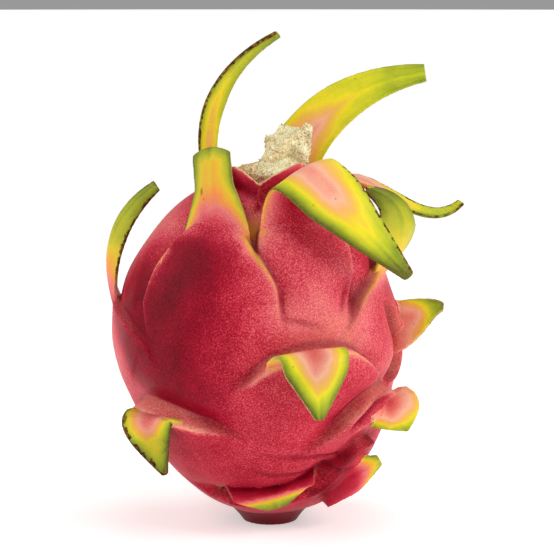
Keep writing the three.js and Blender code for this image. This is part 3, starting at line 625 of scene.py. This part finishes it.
# Rows of points in the middle of a scale's thickness, from the foot of its apron to its tip.
def scaleRows(scale):
    azimuth = scale["turn"]
    out = np.array([math.sin(azimuth), -math.cos(azimuth), 0])
    right = np.array([math.cos(azimuth), math.sin(azimuth), 0])
    up = np.array([0.0, 0, 1])
    _, root, middle, tip = scale["width"]
    across = np.linspace(-1, 1, bladeShape["columns"] + 1)
    apronCount = max(4, round(scale["apron"] / bladeShape["spacing"]))
    share = np.arange(apronCount) / apronCount
    lean = math.radians(scale["lean"])
    apronWidth = mix(root * bladeShape["footWidth"], root, share)[:, None]
    down = (scale["apron"] * (1 - share))[:, None]
    aside = across * apronWidth / 2 * math.cos(lean) + down * math.sin(lean)
    height = walkDown(scale["height"], down * math.cos(lean) - across * apronWidth / 2 * math.sin(lean))
    turn = aside / np.maximum(smoothRadius(height), bodyShape["baseRadius"])
    sunk = bladeShape["sink"] * (1 - share) ** 2 + bladeShape["rootThickness"] / 2
    apron = skinPoint(azimuth + turn, height, -sunk[:, None] + 0 * turn)
    start = skinPoint(azimuth, scale["height"], -bladeShape["rootThickness"] / 2)
    handles = [start] + [start + out * a + right * b + up * c for a, b, c in scale["path"]]
    t = np.linspace(0, 1, 400)[:, None]
    weights = [(1 - t) ** 3, 3 * t * (1 - t) ** 2, 3 * t * t * (1 - t), t**3]
    line = sum(w * h for w, h in zip(weights, handles))
    way = walked(line)
    freeCount = max(8, round(way[-1] / bladeShape["spacing"]))
    freeShare = np.arange(freeCount + 1) / freeCount
    spine = pointsAt(freeShare * way[-1], way, line)
    onward = pointsAt(freeShare * way[-1], way, np.gradient(line, way, axis=0))
    onward /= np.linalg.norm(onward, axis=1, keepdims=True)
    skinCup = root / (8 * smoothRadius(scale["height"]))
    width = throughValues([root, mix(root, middle, 0.5), middle, mix(middle, tip, 0.5), tip], freeShare)
    twist = np.radians(np.interp(freeShare, [0, 0.5, 1], [0] + scale["twist"]))
    cup = mix(skinCup, scale["cup"], np.minimum(1, freeShare * 2))
    side = Vector(right * math.cos(lean) + up * math.sin(lean))
    before = Vector(up * math.cos(lean) - right * math.sin(lean))
    rows = []
    for i in range(freeCount + 1):
        ahead = Vector(onward[i])
        side.rotate(before.rotation_difference(ahead))
        before = ahead
        turned = side.copy()
        turned.rotate(Quaternion(ahead, twist[i]))
        outer = turned.cross(ahead)
        hollow = cup[i] * width[i] * across**2
        rows.append(spine[i] + np.outer(across * width[i] / 2, turned) - np.outer(hollow, outer))
    points = np.concatenate([apron, rows])
    bladeShare = np.concatenate([share - 1, freeShare])  # below 0 on the apron
    widths = np.concatenate([apronWidth[:, 0], width])
    return points, bladeShare, widths, across


def makeScale(scale):
    points, share, widths, across = scaleRows(scale)
    rows, columns = points.shape[:2]
    piece = addPrimitive("grid", x_subdivisions=columns - 1, y_subdivisions=rows - 1, size=2)
    mesh = piece.data
    flat = readPoints(mesh)
    column = np.rint((flat[:, 0] + 1) / 2 * (columns - 1)).astype(int)
    row = np.rint((flat[:, 1] + 1) / 2 * (rows - 1)).astype(int)
    writePoints(mesh, points[row, column])
    place, along = across[column], share[row]
    thickness = np.where(
        along < 0,
        mix(bladeShape["edgeThickness"], bladeShape["rootThickness"], along + 1),
        mix(bladeShape["rootThickness"], bladeShape["tipThickness"], along),
    )
    thickness = mix(thickness, bladeShape["edgeThickness"], place**2)
    group = piece.vertex_groups.new(name="thick")
    for i, weight in enumerate(thickness / bladeShape["rootThickness"]):
        group.add([i], float(weight), "REPLACE")
    # colour along the middle and the margins, how far the margin is, and how much of a leaf it is
    look = bladeShape
    free = np.clip(along, 0, 1)
    grown = ease((along - look["colourFrom"][0]) / look["colourFrom"][1])
    stops = np.linspace(0, 1, 5)
    middleTone = [np.interp(free, stops, scale.get(key, scale["tone"])) for key in ("tone", "outer")]
    edgeTone = [np.interp(free, stops, scale.get(key, scale["edge"])) for key in ("edge", "outerEdge")]
    sideTone = mix(scale["sides"][0], scale["sides"][1], (place + 1) / 2)
    middle, reach, width = look["streakPlace"]
    streak = look["streak"] * np.exp(-((place / width) ** 2)) * np.exp(-(((free - middle) / reach) ** 2))
    middleTone[0] = middleTone[0] - streak
    veins = look["veins"] * sum(np.sin(place * way + scale["azimuth"]) for way in look["veinSpacings"]) * free
    innerTone, outerTone = [
        mix(scale["blushAndLight"], mix(a, b + sideTone, np.abs(place) ** scale["band"]) + veins, grown)
        for a, b in zip(middleTone, edgeTone)
    ]
    margin = (1 - np.abs(place)) * widths[row] / 2
    tipWay = np.linalg.norm(points[-1].mean(0) - points[row, column], axis=1)
    margin = np.minimum(margin, tipWay)
    leaf = ease((along - look["leafFrom"][0]) / look["leafFrom"][1])
    joint = np.exp(-((along + 0.2) / 0.25) ** 2) * (1 - np.abs(place) ** 4)
    mark = np.zeros(len(along))
    for x, y, radius, strength in scale["marks"]:
        spot = points[np.abs(share - x).argmin(), np.abs(across - y).argmin()]
        gap = np.linalg.norm(points[row, column] - spot, axis=1)
        mark = np.maximum(mark, strength * np.exp(-((gap / radius) ** 4)))
    writeGrowth(mesh, "growth", [outerTone, 0, np.clip(margin / look["marginReach"], 0, 1), leaf])
    dry = mix(scale["dry"][0], scale["dry"][1], (place + 1) / 2)
    writeGrowth(mesh, "surface", [dry * grown * mix(*look["dryRange"], free), mark, scale["rim"] * grown, joint])
    middle = readPoints(mesh)
    applyModifier(
        piece, "SOLIDIFY", thickness=bladeShape["rootThickness"], offset=0, vertex_group="thick",
        use_even_offset=False,
    )
    # the face away from the way the scale looks out is its inner one
    spots = readPoints(mesh)
    count = len(middle)
    values = readGrowth(mesh, "growth")
    outside = np.cross(np.gradient(points, axis=1), np.gradient(points, axis=0))[row, column]
    firstIsOuter = ((spots[:count] - middle) * outside).sum() > 0
    inner = slice(count, None) if firstIsOuter else slice(0, count)
    values[inner, 0] = innerTone
    values[inner, 1] = scale["pale"]
    mesh.color_attributes["growth"].data.foreach_set("color", values.ravel())
    return piece


# The body and its scales, joined as grown in one closed surface.
skinFinish = {
    "voxel": 0.42,  # mm, of the surface that joins them
    "quickVoxel": 0.8,
    "overall": 2,  # rounds of smoothing everywhere
    "joint": 12,  # rounds where a scale runs into its cushion
    "triangles": 190000,
}


def makeSkin():
    body = makeBody()
    leaves = [makeScale(scale) for scale in scales]
    print("scales modelled:", len(leaves))
    body.data.use_remesh_fix_poles = body.data.use_remesh_preserve_volume = False
    fuse([body] + leaves, "dragon_fruit_skin", skinFinish["voxel"], True)
    mesh = body.data
    print("skin joined:", len(mesh.polygons), "faces")
    applyModifier(body, "SMOOTH", factor=0.5, iterations=skinFinish["overall"])
    body.vertex_groups.clear()
    group = body.vertex_groups.new(name="joint")
    joint = readGrowth(mesh, "surface")[:, 3]
    for i in np.nonzero(joint > 0.02)[0]:
        group.add([int(i)], float(joint[i]), "REPLACE")
    applyModifier(body, "SMOOTH", factor=0.5, iterations=skinFinish["joint"], vertex_group="joint")
    body.vertex_groups.clear()
    applyModifier(body, "DECIMATE", ratio=min(1, skinFinish["triangles"] / (2 * len(mesh.polygons))))
    print("skin thinned:", len(mesh.polygons), "faces")
    return finishPiece(body)


# Brings a piece to metres with its place in its mesh, and shades it smooth.
def finishPiece(piece):
    selectOnly(piece)
    piece.data.transform(piece.matrix_world)
    piece.matrix_world = Matrix.Identity(4)
    piece.data.transform(Matrix.Scale(millimetre, 4))
    bpy.ops.object.shade_smooth()
    return piece


# The dry flower: a lump seated in the crown, with the torn stump of the flower's tube on it.
scarShape = {
    "radius": 12.5,
    "inset": 0.9,  # of the lump inside that radius, so that it stays clear of the rim of the crown
    "squareness": 0.7,  # 1 is a ball
    "lumpWave": 0.7,
    "seat": 2,  # how deep it sits in the crown
    "rise": 7,  # of the lump's rim over the crown
    "waves": 0.07,  # unevenness of its outline, as a share of the radius
    "block": (14.5, 9, 18),  # width, depth and height of the torn-off tube
    "blockMiddle": (4.8, 4, 120.5),
    "blockTurn": 12,  # degrees, about the vertical
    "blockLean": 0.26,  # to the right, as it rises
    "blockTop": 0.14,  # slope of its torn top
    "blockWave": 1.0,
    "fibres": 420,
    "fibreSize": (0.45, 0.4, 2.6),  # width, thickness and length
    "fibreRange": ((0.7, 1.4), (0.5, 1.3)),  # of the width and of the length
    "fibreTurn": 0.7,  # spread of the way they lie, in radians
    "fibreRise": (-0.05, 0.25),  # how far they stand out of the surface
    "roundness": 1.45,  # corners of the torn tube farther out than this are cut off, in half widths
    "pits": (1.4, 0.5),  # their spacing and depth
    "voxel": 0.3,
}


def makeScar():
    shape = scarShape
    foot = bodyShape["crownHeight"] - shape["seat"]
    rim = bodyShape["crownHeight"] + shape["rise"]
    lump = addPrimitive("uv_sphere", segments=96, ring_count=64, radius=1)
    ball = readPoints(lump.data)
    turn = np.arctan2(ball[:, 0], -ball[:, 1])
    wave = 1 + shape["waves"] * (np.sin(3 * turn + 1) + 0.5 * np.sin(7 * turn))
    squarer = np.sign(ball) * np.abs(ball) ** shape["squareness"]
    aside = squarer[:, :2] * shape["radius"] * wave[:, None] * shape["inset"]
    level = mix(foot, rim, (squarer[:, 2] + 1) / 2)
    spots = np.column_stack([aside, level])
    spots += waves(spots, 9, 3)[:, None] * ball * shape["lumpWave"]
    writePoints(lump.data, spots)
    block = addPrimitive("cube", size=1)
    bpy.ops.object.mode_set(mode="EDIT")
    bpy.ops.mesh.select_all(action="SELECT")
    bpy.ops.mesh.subdivide(number_cuts=22)
    bpy.ops.object.mode_set(mode="OBJECT")
    cube = readPoints(block.data) * 2
    rounded = cube / np.maximum(1, np.linalg.norm(cube, axis=1, keepdims=True) / shape["roundness"])
    spots = rounded / 2 * np.array(shape["block"])
    spots[:, 0] += spots[:, 2] * shape["blockLean"]
    spots[:, 2] += spots[:, 0] * shape["blockTop"]
    spots += np.stack([waves(spots, 7, 11), waves(spots, 7, 12), waves(spots, 7, 13)], 1) * shape["blockWave"]
    around = Matrix.Rotation(math.radians(shape["blockTurn"]), 3, "Z")
    writePoints(block.data, spots @ np.array(around).T + np.array(shape["blockMiddle"]))
    # a sphere's faces come in another order each run, so they are put in the order of their corners
    faces = sorted(lump.data.polygons, key=lambda face: sorted(face.vertices)) + list(block.data.polygons)
    faces = [(face.center.copy(), face.normal.copy()) for face in faces]
    draw = np.random.default_rng(21)
    fibres = []
    fibre = addPrimitive("cylinder", vertices=6, radius=0.5, depth=1)
    width, thick, length = shape["fibreSize"]
    wider, longer = shape["fibreRange"]
    for i in draw.choice(len(faces), shape["fibres"], replace=False):
        spot, way = faces[i]
        copy = fibre.copy()
        copy.data = fibre.data.copy()
        bpy.context.collection.objects.link(copy)
        lie = way.to_track_quat("Y", "Z") @ Quaternion((0, 1, 0), draw.normal(0, shape["fibreTurn"]))
        size = Matrix.Diagonal((width * draw.uniform(*wider), thick, length * draw.uniform(*longer), 1))
        place = spot + way * draw.uniform(*shape["fibreRise"])
        copy.data.transform(Matrix.Translation(place) @ lie.to_matrix().to_4x4() @ size)
        fibres.append(copy)
    bpy.data.objects.remove(fibre)
    fuse([lump, block] + fibres, "dry_flower", shape["voxel"], False)
    pits = bpy.data.textures.new("corkPits", "VORONOI")
    pits.noise_scale, depth = shape["pits"]
    applyModifier(lump, "DISPLACE", texture=pits, strength=-depth, mid_level=0.3, texture_coords="LOCAL")
    print("dry flower modelled:", len(lump.data.polygons), "faces")
    return finishPiece(lump)


def linear(hexColour):
    parts = [int(hexColour[i : i + 2], 16) / 255 for i in (1, 3, 5)]
    return tuple(p / 12.92 if p <= 0.04045 else ((p + 0.055) / 1.055) ** 2.4 for p in parts) + (1,)


# Adds a node, of the kind named or, for a kind in capitals, a Math node that does that. Plain values fill its
# inputs in order, and a setting that names no property of the node names an input. An input takes a value, a
# socket or a node, which stands for its first output. stops: the colours of a ramp.
def addNode(tree, kind, *values, stops=(), **settings):
    node = tree.nodes.new("ShaderNode" + ("Math" if kind.isupper() else kind))
    if kind.isupper():
        node.operation = kind
    named = {key: value for key, value in settings.items() if not hasattr(node, key)}
    for key, value in settings.items():
        if key not in named:
            setattr(node, key, value)
    for _ in stops[2:]:
        node.color_ramp.elements.new(0.5)
    for i, (place, colour) in enumerate(stops):
        node.color_ramp.elements[i].position = place
        node.color_ramp.elements[i].color = linear(colour)
    pairs = list(zip([socket for socket in node.inputs if socket.enabled], values))
    pairs += [(node.inputs[key.replace("_", " ")], value) for key, value in named.items()]
    for socket, value in pairs:
        if isinstance(value, bpy.types.Node):
            value = next(output for output in value.outputs if output.enabled)
        if isinstance(value, bpy.types.NodeSocket):
            tree.links.new(value, socket)
        else:
            socket.default_value = value
    return node


# A material, with what links and what adds its nodes, and the inputs of its shader. The values given are the same
# all over it.
def newMaterial(name, **plain):
    material = bpy.data.materials.new(name)
    material.use_nodes = True
    tree = material.node_tree
    tree.nodes.clear()
    shader = addNode(tree, "BsdfPrincipled", **plain)
    addNode(tree, "OutputMaterial", shader)
    return material, tree.links.new, partial(addNode, tree), shader.inputs


rindLook = {
    # colour from the deepest red through orange and yellow to green, on the outside and the paler inside
    "outside": [
        (0.0, "#580009"), (0.1, "#82001a"), (0.2, "#a60c2a"), (0.3, "#c52f42"), (0.4, "#dc5a62"),
        (0.48, "#e47a74"), (0.54, "#ec8c50"), (0.6, "#eca43c"), (0.7, "#dec42e"), (0.8, "#b0b428"),
        (0.9, "#7f8e22"), (1.0, "#565e18"),
    ],
    "inside": [
        (0.0, "#860a1c"), (0.1, "#a8142b"), (0.2, "#cc3744"), (0.33, "#e87468"), (0.42, "#f29c86"),
        (0.49, "#f6ba9a"), (0.55, "#f4b46c"), (0.62, "#eec048"), (0.7, "#ecdc24"), (0.8, "#bcc424"),
        (0.9, "#8a9c1c"), (1.0, "#5c6414"),
    ],
    "tonePlace": (0.8, 0.2),  # tone times this plus this is the place on those ramps
    # size in mm, detail and roughness of each unevenness
    "noises": {
        "patches": (9, 3, 0.5),  # slow changes of colour
        "pores": (0.45, 1.5, 0.6),  # the pale dots of the skin, partly its own speckle and partly painted glints
        "ragged": (2.2, 4, 0.65),  # the teeth of a dried margin
        "browns": (1.2, 3, 0.5),
        "pebbles": (0.7, 2, 0.6),  # the finest relief that still shows
        "dents": (6, 3, 0.5),
    },
    "patchTone": 0.22,  # how much the patches change the tone
    "grain": 0.5,  # how much the pores do
    "poreMiddle": 0.45,  # above this a pore is paler than the skin, and below it darker
    "poreEdge": (5, -2.5),  # how sharply a dot ends
    "dotGlintStrength": (0.72, 0.072),  # how pale the dots and painted glints are, stronger where the tone is lighter: times the tone, and everywhere
    "dotGlintColour": "#f4a4a8",
    "leafShare": 0.8,  # how much less dotted a scale is
    # strength of the painted shade in the furrows, folds and stem end
    "furrow": 0.55,
    "furrowShadeRed": "#6a0516",
    "mark": "#3c2208",
    "cream": "#dfb984",
    "creamReach": (2.4, -0.2),  # times the patches plus this is how far the cream runs in from a margin
    "raggedReach": (2.4, -0.75),  # the same for the brown
    "burntEdge": 3,  # how sharply it ends
    "brown": [(0.35, "#2c1a08"), (0.55, "#6b4212"), (0.7, "#9a6a24")],
    "fleckSpacing": 5.5,  # mm between the dark flecks of the scales
    "fleckFade": -14,
    "fleckStrength": 0.7,
    "fleckBrown": "#5d3a12",
    "pebbleDepth": 0.25,  # mm
    "dentDepth": 1.2,
    "roughness": (0.3, 0.27),  # times the pores plus this is its roughness
    "burntRoughness": 0.3,
}


# Dragon fruit rind: a thin wax bloom over wet flesh. Broad soft shine broken up by fine pale pores, which are the
# skin's own speckle with painted glints, and light that bleeds through the thin scales.
def makeRind():
    look = rindLook
    material, link, add, shader = newMaterial(
        "waxyRind", IOR=1.42, Specular_IOR_Level=0.12, Subsurface_Weight=0.12, Subsurface_Radius=(1, 0.35, 0.15),
        Subsurface_Scale=2.5 * millimetre,
    )
    spot = add("TexCoord").outputs["Object"]
    patches, pores, ragged, browns, pebbles, dents = [
        add("TexNoise", spot, 1 / (size * millimetre), *rest) for size, *rest in look["noises"].values()
    ]
    growth, surface = [add("Attribute", attribute_name=name) for name in ("growth", "surface")]
    tone, inner, margin = add("SeparateColor", growth).outputs
    dry, crease, rim = add("SeparateColor", surface).outputs
    leaf = growth.outputs["Alpha"]
    marginWay = add("MULTIPLY", margin, bladeShape["marginReach"])
    onSkin = add("MULTIPLY_ADD", leaf, -look["leafShare"], 1)
    # the ramps' colour, with slow patches and fine grain
    uneven = add("MULTIPLY_ADD", add("SUBTRACT", patches, 0.5), look["patchTone"], tone)
    grain = add("MULTIPLY", add("SUBTRACT", pores, look["poreMiddle"]), onSkin)
    uneven = add("MULTIPLY_ADD", grain, look["grain"], uneven)
    place = add("MULTIPLY_ADD", uneven, *look["tonePlace"])
    outside, inside = [add("ValToRGB", place, stops=look[face]) for face in ("outside", "inside")]
    # pale pores, the skin's own speckle with painted glints, plain on the skin and faint on the scales
    pale = add("MULTIPLY_ADD", pores, *look["poreEdge"], use_clamp=True)
    dotGlintStrength = add("MULTIPLY_ADD", tone, *look["dotGlintStrength"], use_clamp=True)
    dotsAndGlints = add("MULTIPLY", add("MULTIPLY", pale, onSkin), dotGlintStrength)
    # painted shade: furrows, folds and the stem end are painted deeper red, and the marks of the scales are their
    # own brown
    furrow = add("MULTIPLY", crease, look["furrow"], use_clamp=True)
    deep = add("Mix", add("POWER", leaf, 6), linear(look["furrowShadeRed"]), linear(look["mark"]), data_type="RGBA")
    # cream where a margin is thin and dry
    creamReach = add("MULTIPLY", add("MULTIPLY_ADD", patches, *look["creamReach"]), rim)
    creamReach = add("SUBTRACT", creamReach, marginWay)
    creamed = add("MULTIPLY", creamReach, add("MULTIPLY", leaf, 2), use_clamp=True)
    # dried brown margins of uneven width
    reach = add("MULTIPLY", add("MULTIPLY_ADD", ragged, *look["raggedReach"]), dry)
    reach = add("MULTIPLY", add("SUBTRACT", reach, marginWay), look["burntEdge"], use_clamp=True)
    burnt = add("MULTIPLY", reach, leaf)
    # a few small dark flecks on the scales
    fleck = add("TexVoronoi", spot, 1 / (look["fleckSpacing"] * millimetre))
    fleck = add("MULTIPLY_ADD", fleck, look["fleckFade"], 1, use_clamp=True)
    flecked = add("MULTIPLY", add("MULTIPLY", fleck, leaf), look["fleckStrength"])
    colour = outside
    for share, over in (
        (inner, inside),
        (dotsAndGlints, linear(look["dotGlintColour"])),
        (furrow, deep),
        (creamed, linear(look["cream"])),
        (burnt, add("ValToRGB", browns, stops=look["brown"])),
        (flecked, linear(look["fleckBrown"])),
    ):
        colour = add("Mix", share, colour, over, data_type="RGBA")
    link(colour.outputs[2], shader["Base Color"])
    fine = add("Bump", Height=pebbles, Strength=0.6, Distance=look["pebbleDepth"] * millimetre)
    soft = add("Bump", Height=dents, Strength=0.3, Distance=look["dentDepth"] * millimetre, Normal=fine)
    link(soft.outputs[0], shader["Normal"])
    rough = add("MULTIPLY_ADD", pores, *look["roughness"])
    link(add("MULTIPLY_ADD", burnt, look["burntRoughness"], rough).outputs[0], shader["Roughness"])
    return material


corkLook = {
    "strand": 1.9,  # mm between the strands
    "cream": [(0.0, "#8a6430"), (0.06, "#dcbf7c"), (0.15, "#fdf0b8"), (0.4, "#fffbd8")],
    "tan": [(0.0, "#7a4a20"), (0.1, "#c48a4c"), (0.25, "#f0ca8c"), (0.55, "#fbe6b4")],
    "leftness": (-120, 0.1),  # how fast the tan comes in to the left, for each metre, and how much is in the middle
    "patch": 5,  # mm
    "patchiness": (3, -1.6),
    "bumpDepth": 0.5,  # mm
}


# Dried flower tissue: cork and straw. Matt, cream where it is torn, brown in its pits.
def makeCork():
    look = corkLook
    material, link, add, shader = newMaterial("driedFlowerCork", Roughness=0.85, Specular_IOR_Level=0.45)
    spot = add("TexCoord").outputs["Object"]
    tangle = add("TexNoise", spot, 1 / (look["strand"] * millimetre), 3, 0.6, Distortion=1.6)
    strands = add("ABSOLUTE", add("SUBTRACT", tangle, 0.5))
    strands = add("MULTIPLY", strands, 4, use_clamp=True)
    cream, tan = [add("ValToRGB", strands, stops=look[name]) for name in ("cream", "tan")]
    # more tan to the left, in patches
    leftness = add("MULTIPLY_ADD", add("SeparateXYZ", spot), *look["leftness"])
    patches = add("TexNoise", spot, 1 / (look["patch"] * millimetre), 3)
    patches = add("MULTIPLY_ADD", patches, *look["patchiness"])
    colour = add("Mix", add("ADD", leftness, patches, use_clamp=True), cream, tan, data_type="RGBA")
    link(colour.outputs[2], shader["Base Color"])
    bump = add("Bump", Height=strands, Strength=0.6, Distance=look["bumpDepth"] * millimetre)
    link(bump.outputs[0], shader["Normal"])
    return material


skin = makeSkin()
skin.data.materials.clear()
skin.data.materials.append(makeRind())
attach(skin, "root")
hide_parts("fruit")

flower = makeScar()
flower.data.materials.clear()
flower.data.materials.append(makeCork())
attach(flower, "root")
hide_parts("flower_scar")
print("fruit dressed")

# A pale floor, soft light all round and the camera.
stageLook = {
    "floorRadius": 12,  # m
    "floor": "#f6f6f5",
    "floorGlow": (0.46, 0.78),  # near the fruit and far off, so that it stays near white all over
    "glowReach": (0.2, 1.5),  # m
    "sky": "#ffffff",
    "skyStrength": 0.32,
    # azimuth round the fruit, elevation, distance, size, power in watts
    "lights": {
        "keyRight": (60, 30, 0.9, 0.5, 4.4),
        "sideLeft": (-72, 30, 0.9, 0.8, 3.8),
        "overhead": (160, 70, 0.9, 0.5, 2.0),
    },
    "lightAim": (0, 0, 0.06),
}
cameraView = {"elevation": 8, "distance": 0.7, "aim": (0.0023, 0, 0.0817), "lens": 137.8}


def outFrom(azimuth, elevation):
    a, e = math.radians(azimuth), math.radians(elevation)
    return Vector((math.sin(a) * math.cos(e), -math.cos(a) * math.cos(e), math.sin(e)))


def makeStage():
    look = stageLook
    floor = addPrimitive("circle", vertices=96, radius=look["floorRadius"], fill_type="NGON")
    floor.name = "floor"
    pale = linear(look["floor"])
    material, link, add, shader = newMaterial(
        "paleFloor", Base_Color=pale, Roughness=0.9, Specular_IOR_Level=0.1, Emission_Color=pale
    )
    away = add("VectorMath", add("TexCoord").outputs["Object"], operation="LENGTH")
    glow = add("MapRange", away, *look["glowReach"], *look["floorGlow"])
    link(glow.outputs[0], shader["Emission Strength"])
    floor.data.materials.append(material)
    world = bpy.data.worlds.new("paleStudio")
    bpy.context.scene.world = world
    world.use_nodes = True
    sky = world.node_tree.nodes["Background"]
    sky.inputs["Color"].default_value = linear(look["sky"])
    sky.inputs["Strength"].default_value = look["skyStrength"]
    aim = Vector(look["lightAim"])
    for name, (azimuth, elevation, distance, size, power) in look["lights"].items():
        light = bpy.data.lights.new(name, "AREA")
        light.size = size
        light.energy = power
        lamp = bpy.data.objects.new(name, light)
        bpy.context.scene.collection.objects.link(lamp)
        way = outFrom(azimuth, elevation)
        lamp.location = aim + way * distance
        lamp.rotation_euler = way.to_track_quat("Z", "Y").to_euler()


def makeCamera():
    view = cameraView
    data = bpy.data.cameras.new("camera")
    data.lens = view["lens"]
    data.sensor_width = 36
    data.clip_start = 0.01
    camera = bpy.data.objects.new("camera", data)
    bpy.context.scene.collection.objects.link(camera)
    way = outFrom(0, view["elevation"])
    camera.location = Vector(view["aim"]) + way * view["distance"]
    camera.rotation_euler = way.to_track_quat("Z", "Y").to_euler()
    bpy.context.scene.camera = camera


makeStage()
makeCamera()
bpy.context.scene.view_settings.view_transform = "Standard"
bpy.context.view_layer.update()
print("stage set")
